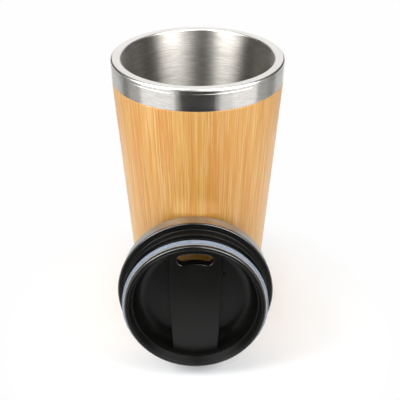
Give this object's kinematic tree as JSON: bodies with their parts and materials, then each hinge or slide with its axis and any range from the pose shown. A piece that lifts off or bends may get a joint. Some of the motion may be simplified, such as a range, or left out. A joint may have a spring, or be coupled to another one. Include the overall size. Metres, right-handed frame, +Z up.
{
  "type": "bamboo travel cup",
  "caption": "Tapered steel-lined travel cup in a bamboo sleeve, with its black slide-to-open press-in lid taken off and leaned on the front.",
  "frame": {"origin": "centre of the cup's base, on the table", "axes": "+Z up along the cup's axis; the lid leans on the cup's -Y side, its underside towards -Y"},
  "size_m": [0.086, 0.1202, 0.1455],
  "materials": {
    "liner_steel": "satin, brushed round the cup",
    "band_steel": "satin to bright, brushed round the cup",
    "bamboo": "laminated bamboo, fine upright grain, clear matte lacquer",
    "base_steel": "satin",
    "pad_rubber": "matte anti-slip",
    "lid_black": "fine satin moulding",
    "deck_black": "fine satin moulding",
    "trim_steel": "bright satin",
    "seal_silicone": "smooth translucent silicone, blue-grey",
    "gate_black": "satin moulding",
    "button_black": "fine texture, worn slightly on the ridges"
  },
  "bodies": {
    "cup": {"inner_liner": "liner_steel", "outer_can": "band_steel", "bamboo_sleeve": "bamboo", "base_cap": "base_steel", "base_pad": "pad_rubber"},
    "lid": {"lid_body": "lid_black", "lid_deck": "deck_black", "lid_trim": "trim_steel", "seal_ring": "seal_silicone"},
    "slide": {"slide_gate": "gate_black", "thumb_button": "button_black"}
  },
  "joints": [
    {"name": "lid_off", "type": "slide", "parent": "cup", "child": "lid", "axis": [0, -0.9877, 0.1564], "range_m": [0, 0.1]},
    {"name": "slide_shut", "type": "slide", "parent": "lid", "child": "slide", "axis": [0, 0.1564, 0.9877], "range_m": [0, 0.0075]}
  ]
}
